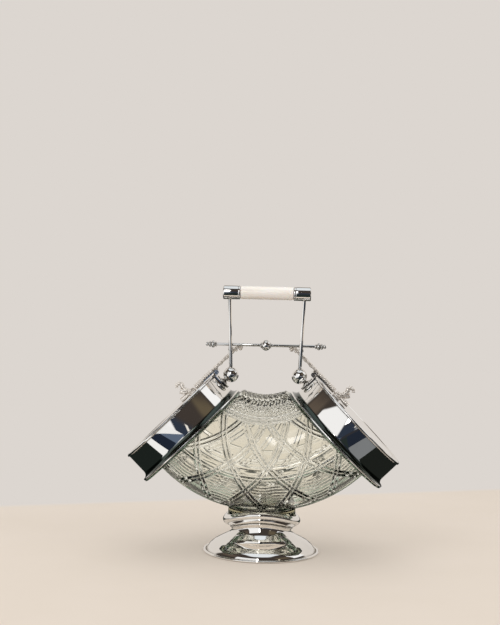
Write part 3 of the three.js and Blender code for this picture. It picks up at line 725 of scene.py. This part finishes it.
bell_out = [
    (29.0, 25.7), (30.5, 25.7), (31.0, 25.0), (31.0, 24.2), (30.0, 23.4), (29.0, 22.4), (29.4, 20.8), (31.4, 18.6),
    (35.6, 16.3), (41.2, 13.6), (46.6, 10.7), (50.8, 7.3), (53.3, 4.2), (54.4, 1.2), (54.6, 0.3),
]
bell_in = [
    (53.4, 0.3), (52.9, 1.4), (52.0, 3.7), (49.8, 6.4), (45.9, 9.6), (40.7, 12.5), (35.0, 15.2), (30.3, 17.9),
    (28.2, 20.5), (27.8, 22.4), (27.8, 25.7),
]
plated("pedestal_bell", saddled(turned(bell_out + bell_in, 1.3, 160, 5)), "pedestal_foot")
wire = [(54.9, 0.0), (56.9, 0.0), (57.5, 0.7), (57.5, 1.7), (56.8, 2.6), (55.5, 2.6), (54.9, 2.1)]
plated("foot_edge", turned(wire, 0.5, 160, 4), "foot_wire")


# Collars and lids

def cove(radius):
    """The hollow of the flared lip, from the collar's wall to the lip's edge."""
    angles = [math.pi / 2 * i / 10 for i in range(11)]
    return [(TIP_R - radius * math.cos(a), -radius * math.sin(a)) for a in angles]


collar_profile = (
    [(MOUTH_R, COLLAR_H - COLLAR_RIM), (MOUTH_R, COLLAR_H), (COLLAR_R, COLLAR_H)]
    + cove(FLARE_R) + cove(FLARE_R + COLLAR_WALL)[::-1] + [(COLLAR_R - COLLAR_WALL, COLLAR_H - COLLAR_RIM)]
)
lid_profile = [
    (0, LID_LOW), (LID_R - 0.4, LID_LOW), (LID_R, LID_LOW + 0.4), (LID_R, BEAD_TOP - 0.8), (LID_R - 0.7, BEAD_TOP),
    (LID_R - 2.6, BEAD_TOP), (LID_R - 3.6, LID_TOP), (LID_R - 9, LID_TOP - 0.05), (LID_R - 10, LID_TOP + 0.25),
    (LID_R - 11, LID_TOP), (20, LID_TOP + 0.02), (0, LID_TOP + 0.02),
]
stem_start, ball_side = COLLAR_R + 0.3, COLLAR_R + BALL_OUT - BALL_R
stem_profile = [
    (0, stem_start), (7.3, stem_start), (7.3, stem_start + 0.9), (6.6, stem_start + 1.3), (6.2, stem_start + 1.2),
    (5.2, stem_start + 1.7), (3.4, stem_start + 2.0), (2.4, stem_start + 2.5), (2.4, ball_side - 0.3),
    (1.5, ball_side - 0.3), (1.5, ball_side + 3), (0, ball_side + 3),
]


def mark_flare_shade(band, m):
    """Marks the hollow of the collar's flared lip, where its material paints a dark green shade."""
    to_mouth = m.inverted()
    shares = []
    for vertex in band.data.vertices:
        x, y, z = to_mouth @ (vertex.co / MM)
        out, down = TIP_R - math.hypot(x, y), -z
        turn = math.degrees(math.atan2(down, out))
        on_hollow = math.hypot(out, down) < FLARE_R + COLLAR_WALL / 2
        shares.append(limited((turn - 3) / 8) * limited((80 - turn) / 6) if on_hollow else 0.0)
    mark(band, "flare_shade", shares)


for side in SIDES:
    m = mouth(side)
    mark_flare_shade(plated(side + "_collar_band", turned(collar_profile, 0.25, 180, 3), side + "_collar", m, banded), m)
    plated(side + "_lid_plate", turned(lid_profile, 0.25, 180, 3), side + "_lid", m, body=side + "_lid_group")
    lay = Matrix.Translation((0, 0, STEM_Z)) @ Matrix.Rotation(-math.pi / 2, 4, "Y")
    plated(side + "_turned_stem", turned(stem_profile, 0.35, 72, 3), side + "_stem", m @ lay)


# Handle

def ball_profile(radius, low=-1.0, high=1.0, rows=28):
    """A ball's outline from a low to a high share of its height."""
    start, end = math.acos(-low), math.acos(-high)
    heights = [-math.cos(start + (end - start) * i / rows) for i in range(rows + 1)]
    return [(radius * math.sqrt(max(1 - z * z, 0)), radius * z) for z in heights]


def across_at(x, y, z, sign=1):
    """A frame whose +Z points right, or left where the sign is -1."""
    return Matrix.Translation((x, y, z)) @ Matrix.Rotation(sign * math.pi / 2, 4, "Y")


def closed(form):
    verts, faces = form
    return verts, outward(verts, faces)


BALL_CUT = 0.955  # the share of the ball's height at which its small neck starts
neck_z = BALL_R * 0.9
ball_outline = [(0, -BALL_R)] + ball_profile(BALL_R, -1, BALL_CUT)[1:] + [
    (2.15, BALL_R * BALL_CUT + 0.35), (2.0, neck_z), (0, neck_z)]
ball_outline = [(max(r, AXIS), z) for r, z in ball_outline]
shell = [
    (0, 26.5), (6.6, 26.5), (7.0, 26.9), (7.0, 27.9), (6.8, 28.2), (6.8, 28.5), (7.0, 28.8), (7.0, 42.4),
    (6.8, 42.9), (6.2, 43.4), (4.0, 43.5), (0, 43.5),
]
finial = [
    (0, 0), (2.3, 0), (2.6, 0.5), (2.2, 1.1), (1.7, 1.4), (2.9, 1.9), (3.5, 2.7), (3.7, 3.5), (3.4, 4.4), (2.5, 5.1),
    (1.8, 5.4), (2.7, 5.9), (3.0, 6.6), (2.7, 7.3), (1.7, 7.8), (1.3, 8.1), (1.9, 8.6), (2.1, 9.4), (1.8, 10.3),
    (1.1, 10.8), (0, 11),
]
LUG_R, LUG_GAP = 2.6, 0.3
lug = [
    (0, 2.1), (1.9, 2.1), (2.5, 2.6), (LUG_R, 3.4), (2.1, 4.0), (2.1, 4.4), (LUG_R, 5.0), (LUG_R, 6.4), (1.8, 7.5),
    (0, 7.7),
]
LUG_Z = BAR_Z - BAR_R - LUG_GAP - LUG_R
BAR_HALF, FINIAL_X = 48.5, 48.8

for side, sign in SIDES.items():
    centre = mouth(side) @ Vector((-(COLLAR_R + BALL_OUT), 0, STEM_Z))
    top = Vector((sign * UPRIGHT_X, 0, GRIP_Z))
    way = (top - centre).normalized()
    plated(side + "_handle_ball", closed(lathe(ball_outline, 72, False)), side + "_ball", along(centre, top))
    low = centre + way * (BALL_R - 0.6)
    length = (top - way * 5.2 - low).length
    pole = [(0, 0), (UPRIGHT_R, 0), (UPRIGHT_R, length * 0.5), (UPRIGHT_R, length - 1.2), (2.3, length - 0.8),
            (2.3, length), (0, length)]
    plated(side + "_upright_rod", turned(pole, 0.3, 48, 2), side + "_upright", along(low, top), rod)
    plated(side + "_ferrule_cap", turned(shell, 0.25, 96, 3), side + "_ferrule", across_at(0, 0, GRIP_Z, sign))
    plated(side + "_bar_finial", turned(finial, 0.3, 64, 3), side + "_finial",
           across_at(sign * FINIAL_X, BAR_Y, BAR_Z, sign))
    lug_x = (centre + way * ((LUG_Z - centre.z) / way.z)).x
    lay = Matrix.Translation((lug_x, 0, LUG_Z)) @ Matrix.Rotation(-math.pi / 2, 4, "X")
    plated(side + "_bar_rest", turned(lug, 0.35, 48, 3), side + "_bar_lug", lay)

grip = [
    (2.5, -30.6), (5.0, -30.6), (5.0, -26.2), (6.1, -26.2), (6.4, -25.6), (6.45, -12), (6.4, 0), (6.45, 12),
    (6.4, 25.6), (6.1, 26.2), (5.0, 26.2), (5.0, 30.6), (2.5, 30.6),
]
one("bone_handle", turned(grip, 0.5, 96, 3), bone, "barrel", "grip", across_at(0, 0, GRIP_Z))
lay = across_at(0, BAR_Y, BAR_Z)
bar = [(0, -BAR_HALF), (BAR_R, -BAR_HALF), (BAR_R, -12), (BAR_R, 12), (BAR_R, BAR_HALF), (0, BAR_HALF)]
plated("crossbar_rod", turned(bar, 0.2, 48, 2), "cross_rod", lay, rod)
middle = [(1.8, -5.9), (2.6, -5.9), (2.9, -5.4), (2.6, -4.9)] + ball_profile(5.4, -0.86, 0.86, 20) + [
    (2.6, 4.9), (2.9, 5.4), (2.6, 5.9), (1.8, 5.9)]
middle = [(r, max(-5.35, min(5.35, z * 0.905))) for r, z in middle]
plated("crossbar_ball", closed(lathe(middle, 72, True)), "cross_ball", lay)


# Cast mounts on the lids

KNOB_H = 18.2  # scale of the knob's stalk and branches
LEVER_Y = 11.0  # how far each lever lies behind the middle


def casting(side):
    """Strap, knob and lever of one lid, in the mouth's frame: twisted stems with leaves and berries."""
    dice = random.Random(7 if side == "left" else 11)
    strap, knob, lever = Shape(), Shape(), Shape()
    # The strap: a pair of twisted stems on a bed, from the hinge to the knob's foot.
    bed = smooth_path([(-58.2, 0, 25.6), (-50, 0, 25.5), (-45.5, 0, 25.2), (-44.0, 0, 24.4), (-35.5, 0, 24.2)], 6)
    strap.add(*limb(bed, lambda s: 1.5, 12))
    for row in (-1, 1):
        line = smooth_path([(-58.2, 1.7 * row, 25.9), (-52, 2.4 * row, 26.2), (-44, 2.6 * row, 26.0),
                            (-36, 2.2 * row, 25.6)], 14)
        woven = strands(line, lambda s: 0.95, lambda s: 0.95, 3.5 * row, 3, 8)
        strap.add(woven.verts, woven.faces)
    for i in range(8):
        x = -56.6 + 2.75 * i
        for row in (-1, 1):
            tip = (x + 2.4, row * (4.1 + dice.uniform(-0.2, 0.2)), 24.4 + dice.uniform(0, 0.4))
            strap.add(*leaf((x - 0.6, row * 1.6, 26.9), tip, 1.35, 0.6, (0, -row * 0.5, 1)))
        strap.add(*bead((x + 0.9, dice.uniform(-0.7, 0.7), 27.2 + dice.uniform(-0.1, 0.1)), 1.15))
    # The knob: a boss of leaves and berries, a curled stalk and two clubbed branches.
    foot = Vector((-29.9, 0, 22.4))
    dome = [(0, 0), (4.4, 0), (4.5, 0.6), (4.0, 1.4), (3.0, 2.8), (1.6, 3.6), (0, 3.9)]
    knob.add(*turned(dome, 0.4, 40, 3), Matrix.Translation(foot))
    for i in range(9):
        a = 2 * math.pi * i / 9 + 0.2
        root = foot + Vector((1.6 * math.cos(a), 1.6 * math.sin(a), 2.8))
        tip = foot + Vector((4.5 * math.cos(a), 4.4 * math.sin(a), 1.3 + 0.8 * (i % 2)))
        knob.add(*leaf(root, tip, 1.5, 0.6))
    for i in range(7):
        a = 2 * math.pi * i / 7 + 0.7
        knob.add(*bead(foot + Vector((2.7 * math.cos(a), 2.7 * math.sin(a), 3.6 + 0.5 * (i % 3))), 1.25))

    def at(x, y, z):
        return foot + Vector((KNOB_H * x, KNOB_H * y, KNOB_H * z))

    def club(s):
        return 1.6 + 0.9 * math.sin(min(1, s * 1.15) * math.pi * 0.62) ** 2 + 0.1 * math.sin(40 * s)

    stalk = smooth_path([at(0, 0, 0.1), at(0.16, 0, 0.35), at(0.2, 0, 0.6), at(0.12, 0, 0.84), at(0.2, 0, 0.93),
                         at(0.36, 0, 0.95), at(0.46, 0, 0.84)], 8)
    knob.add(*limb(stalk, lambda s: (2.4 - 1.0 * s) * (1 + 0.14 * math.sin(34 * s)), 12))
    twine = strands(stalk[:34], lambda s: 2.2 - 0.8 * s, lambda s: 0.7, 3.0, 2, 6)
    knob.add(twine.verts, twine.faces)
    high = smooth_path([at(0.1, 0, 0.18), at(0.28, 0.06, 0.36), at(0.46, 0.09, 0.58)], 9)
    low = smooth_path([at(0.1, 0, 0.14), at(0.46, -0.06, 0.15), at(0.76, -0.09, 0.16)], 9)
    knob.add(*limb(high, club, 12))
    knob.add(*limb(low, club, 12))
    # The lever: a stem over the hinge with a twining shoot, its end curled under the crossbar.
    y = LEVER_Y * SIDES[side]
    arm = smooth_path([(-48.6, y, 25.4), (-56, y, 25.6), (-64, y, 25.6), (-76, y, 25.4), (-88, y, 25.4),
                       (-93.5, y, 25.6), (-96.2, y, 24.6), (-95.6, y, 22.6), (-93.2, y, 22.0)], 8)
    lever.add(*limb(arm, lambda s: 1.5 - 0.3 * s, 12))
    vine = strands(arm, lambda s: 1.35 - 0.2 * s, lambda s: 0.8 - 0.1 * s, 6.5, 2, 8)
    lever.add(vine.verts, vine.faces)
    for i in range(9):
        x = -50.5 - 4.6 * i
        tip = (x - 3.4, y + (1.9 if i % 2 else -1.9), 26.3)
        lever.add(*leaf((x, y, 26.6), tip, 1.25, 0.55))
        lever.add(*bead((x - 1.6, y + (-1.1 if i % 2 else 1.1), 26.3), 0.95))
    for x, z, r in ((-96.0, 24.2, 2.0), (-93.6, 22.3, 1.9), (-92.4, 25.8, 1.7), (-89.6, 23.9, 1.5)):
        lever.add(*bead((x, y, z), r))
    return strap, knob, lever


for side in SIDES:
    m = mouth(side)
    for name, shape in zip(("strap", "knob", "lever"), casting(side)):
        moved = Shape().add(shape.verts, shape.faces, m)
        make(f"{side}_cast_{name}", moved.verts, moved.faces, cast, side + "_lid_group",
             (f"{side}_lid_{name}",), angle=60)


# Carried-over solids

def dress(name, material, width=0.0):
    """A solid of the frame with a material, and with its edges eased by a width where one is given."""
    piece = nodes[name]
    for slot in piece.material_slots:
        slot.material = material
    if width:
        bevel = piece.modifiers.new("edge", "BEVEL")
        bevel.width = width * MM
        bevel.segments = 2
        bevel.limit_method = "ANGLE"
        bevel.angle_limit = math.radians(50)


dress("peg_plaster", plaster)
dress("grip_core", brass)
for side in SIDES:
    dress(side + "_collar_plaster", plaster)
    dress(side + "_lid_liner", mirror)
    dress(side + "_hinge_base", mirror, 0.25)
    dress(side + "_hinge_leaf", mirror, 0.2)
    dress(side + "_hinge_pin", rod, 0.2)


# Stage

WALL_TONE = rgb(0.716, 0.672, 0.631)
TABLE_TONES = rgb(0.69, 0.61, 0.525), rgb(0.73, 0.65, 0.57)
# The line at which the table ends: it starts at FADE_FROM metres behind the middle and slants by FADE_SLANT.
FADE_SLANT, FADE_FROM, FADE_TO = -0.378, 0.300, 0.325
TABLE_GLOW = 0.35  # share of the table's tone that doesn't depend on the light


def plane(name, x0, x1, y0, y1, z, material):
    """A level rectangle of the stage, in metres."""
    mesh = bpy.data.meshes.new(name)
    mesh.from_pydata([(x0, y0, z), (x1, y0, z), (x1, y1, z), (x0, y1, z)], [], [(0, 1, 2, 3)])
    mesh.materials.append(material)
    made = bpy.data.objects.new(name, mesh)
    bpy.context.scene.collection.objects.link(made)
    return made


def floor_material():
    """A pale matt table that turns into the wall's tone further out."""
    material, g, shader = new_material("pale_floor")
    tree = material.node_tree
    coord = g.node("ShaderNodeTexCoord")
    split = g.node("ShaderNodeSeparateXYZ")
    tree.links.new(coord.outputs["Object"], split.inputs[0])
    far = g.step(g.math("MULTIPLY_ADD", split.outputs[0], FADE_SLANT, split.outputs[1]), FADE_FROM, FADE_TO)
    grain = g.noise(coord.outputs["Object"], 9.0, 4.0)
    tone = g.mix(grain, *TABLE_TONES)
    g.feed(shader.inputs["Base Color"], tone)
    shader.inputs["Roughness"].default_value = 0.9
    shader.inputs["Specular IOR Level"].default_value = 0.0
    glow = g.node("ShaderNodeEmission")
    glow.inputs["Color"].default_value = WALL_TONE
    blend = g.node("ShaderNodeMixShader")
    g.feed(blend.inputs[0], far)
    own = g.node("ShaderNodeEmission")
    g.feed(own.inputs["Color"], tone)
    lit = g.node("ShaderNodeMixShader")
    lit.inputs[0].default_value = TABLE_GLOW
    tree.links.new(shader.outputs[0], lit.inputs[1])
    tree.links.new(own.outputs[0], lit.inputs[2])
    tree.links.new(lit.outputs[0], blend.inputs[1])
    tree.links.new(glow.outputs[0], blend.inputs[2])
    tree.links.new(blend.outputs[0], tree.nodes["Material Output"].inputs["Surface"])
    return material


floor = plane("floor", -6, 6, -6, 6, -0.0002, floor_material())
floor.visible_transmission = False


def emitter(name, colour):
    material = bpy.data.materials.new(name)
    material.use_nodes = True
    tree = material.node_tree
    tree.nodes.clear()
    g = Graph(tree)
    glow = g.node("ShaderNodeEmission")
    glow.inputs["Color"].default_value = colour
    glow.inputs["Strength"].default_value = 1.0
    tree.links.new(glow.outputs[0], g.node("ShaderNodeOutputMaterial").inputs[0])
    return material


def reflected_only(card):
    card.visible_camera = False
    card.visible_diffuse = False
    card.visible_shadow = False
    card.visible_glossy = True
    card.visible_transmission = False


# What polished metal sees below the level view: cards just above the floor, each with its colour, x0, x1, y0, y1.
CARD_Z = 0.0008
CARDS = [
    ("black_right", rgb(0.012, 0.014, 0.012), 0.17, 1.4, -0.152, 1.2),
    ("grey_right", rgb(0.20, 0.21, 0.22), 0.17, 1.4, -0.40, -0.152),
    ("navy_right", rgb(0.016, 0.022, 0.036), 0.17, 1.4, -1.8, -0.40),
    ("black_left", rgb(0.012, 0.016, 0.014), -1.4, -0.17, -0.120, 1.2),
    ("white_left", rgb(0.92, 0.92, 0.92), -1.4, -0.17, -0.195, -0.120),
    ("navy_left", rgb(0.014, 0.02, 0.036), -0.32, -0.15, -0.42, -0.195),
    ("blue_left", rgb(0.11, 0.145, 0.21), -0.32, -0.15, -6.0, -0.42),
    ("white_front_left", rgb(0.9, 0.9, 0.9), -6.0, -0.32, -6.0, -0.195),
    ("dark_middle", rgb(0.02, 0.028, 0.026), -0.15, 0.17, -1.8, -0.22),
    ("black_far", rgb(0.03, 0.03, 0.035), -0.15, 6.0, -6.0, -1.8),
    ("dark_behind", rgb(0.03, 0.04, 0.034), -0.17, 0.17, 0.075, 0.50),
]
for name, colour, x0, x1, y0, y1 in CARDS:
    reflected_only(plane(name, x0, x1, y0, y1, CARD_Z, emitter(name, colour)))

world = bpy.data.worlds.new("studio")
bpy.context.scene.world = world
world.use_nodes = True
g = Graph(world.node_tree)
coord = g.node("ShaderNodeTexCoord")
split = g.node("ShaderNodeSeparateXYZ")
world.node_tree.links.new(coord.outputs["Generated"], split.inputs[0])
to_x, to_y, to_z = split.outputs
turn = g.math("MULTIPLY", g.math("ARCTAN2", to_x, to_y), 180 / math.pi)
lift = g.math("MULTIPLY", g.math("ARCSINE", to_z), 180 / math.pi)


def patch(under, colour, a0, a1, e0, e1, soft):
    """A colour laid over another between two azimuths and two elevations, in degrees, with a soft edge."""
    mask = g.math("MULTIPLY", g.between(turn, a0, a1, soft), g.between(lift, e0, e1, soft))
    return g.mix(mask, under, colour)


# What polished metal sees: a pale wall behind, a dark room in front, and white screens between.
# Azimuth 0 is behind the object and 180 is on the camera's side. Later rows lie over earlier ones.
ROOM_TONE, NAVY, SCREEN = rgb(0.052, 0.042, 0.036), rgb(0.028, 0.038, 0.06), rgb(0.93, 0.93, 0.94)
ROOM = [
    (WALL_TONE, -72, 72, -95, 46, 5),
    (rgb(0.12, 0.095, 0.06), 108, 142, 30, 46, 7),
    (rgb(0.11, 0.085, 0.065), -118, -80, 30, 48, 7),
    (rgb(0.9, 0.8, 0.65), 135, 139, 25, 29, 0.8),
    (NAVY, 140, 190, -40, 12, 6),
    (NAVY, -190, -158, -40, 12, 6),
    (SCREEN, -171, -124, -6, 40, 1.2),
    (rgb(1.06, 1.06, 1.07), -128, -66, -8, 7, 1.2),
    (rgb(0.015, 0.015, 0.018), 72, 134, -8, 8, 1.2),
    (rgb(0.26, 0.27, 0.29), 134, 172, -8, 6, 1.2),
    (rgb(0.97, 0.97, 0.98), 66, 101, 22, 62, 1.2),
    (rgb(6.0, 6.0, 6.0), -176.0, -172.0, 12, 38, 0.8),
    (rgb(0.80, 0.84, 0.88), -190, 190, 62, 95, 1.2),
    (rgb(0.85, 0.82, 0.76), 171.2, 174.2, 2, 12, 0.5),
]
# What shows through the glass: a pale wall, a white ceiling, and dark and white bands below the level view.
CEILING, CLEAR_DARK = rgb(1.0, 0.98, 0.94), rgb(0.02, 0.028, 0.022)
THROUGH = [
    (rgb(0.765, 0.72, 0.64), -190, 190, -95, 20, 5),
    (CLEAR_DARK, -190, 190, -95, -42, 2),
    (rgb(0.93, 0.905, 0.85), -190, 190, -42, -17, 2),
    (CLEAR_DARK, -190, 190, -17, -12.5, 1),
    (CLEAR_DARK, 16, 34, -44, -28, 2),
    (CLEAR_DARK, -34, -16, -44, -28, 2),
    (CLEAR_DARK, 38, 46, -95, 24, 2),
    (CLEAR_DARK, -46, -38, -95, 24, 2),
]
room, clear = ROOM_TONE, CEILING
for row in ROOM:
    room = patch(room, *row)
for row in THROUGH:
    clear = patch(clear, *row)

DAYLIGHT = rgb(0.76, 0.75, 0.74)
ray = g.node("ShaderNodeLightPath").outputs
seen = g.mix(ray["Is Glossy Ray"], DAYLIGHT, room)
seen = g.mix(ray["Is Transmission Ray"], seen, clear)
seen = g.mix(ray["Is Camera Ray"], seen, WALL_TONE)
world.node_tree.links.new(seen, world.node_tree.nodes["Background"].inputs["Color"])


def softbox(name, place, aim, size, power):
    """A square lamp that neither metal nor glass shows."""
    data = bpy.data.lights.new(name, "AREA")
    data.shape = "RECTANGLE"
    data.size, data.size_y = size, size
    data.energy = power
    lamp = bpy.data.objects.new(name, data)
    lamp.location = place
    lamp.rotation_mode = "QUATERNION"
    lamp.rotation_quaternion = (Vector(aim) - Vector(place)).to_track_quat("-Z", "Y")
    lamp.visible_glossy = False
    lamp.visible_transmission = False
    bpy.context.scene.collection.objects.link(lamp)
    return data


softbox("key_left", (-1.0, -1.1, 1.3), (0, 0, 0.1), 1.0, 8)
softbox("fill_right", (1.2, -0.7, 0.9), (0, 0, 0.1), 1.0, 4)
softbox("top", (0.0, 0.3, 1.6), (0, 0, 0), 1.4, 7).use_shadow = False

# Camera, at the photograph's viewing angle: its place in millimetres, its length of view in pixels of the photograph
# and the photograph's longer side, which the sensor's width stands for.
AZIMUTH, TILT, ROLL = math.radians(2.18), math.radians(2.39), math.radians(1.38)
EYE, VIEW_LENGTH, LONGER_SIDE, SENSOR = (36.4, -1389.8, 295.3), 1408.08, 625, 36

back = Vector((math.sin(AZIMUTH) * math.cos(TILT), -math.cos(AZIMUTH) * math.cos(TILT), math.sin(TILT)))
level_right = Vector((math.cos(AZIMUTH), math.sin(AZIMUTH), 0))
upward = back.cross(level_right)
right = level_right * math.cos(ROLL) + upward * math.sin(ROLL)
top = -level_right * math.sin(ROLL) + upward * math.cos(ROLL)
data = bpy.data.cameras.new("camera")
data.sensor_width = SENSOR
data.lens = VIEW_LENGTH / LONGER_SIDE * SENSOR
camera = bpy.data.objects.new("camera", data)
bpy.context.scene.collection.objects.link(camera)
camera.rotation_mode = "QUATERNION"
camera.rotation_quaternion = Matrix((right, top, back)).transposed().to_quaternion()
camera.location = Vector(EYE) * MM
bpy.context.scene.camera = camera
bpy.context.scene.view_settings.view_transform = "Standard"
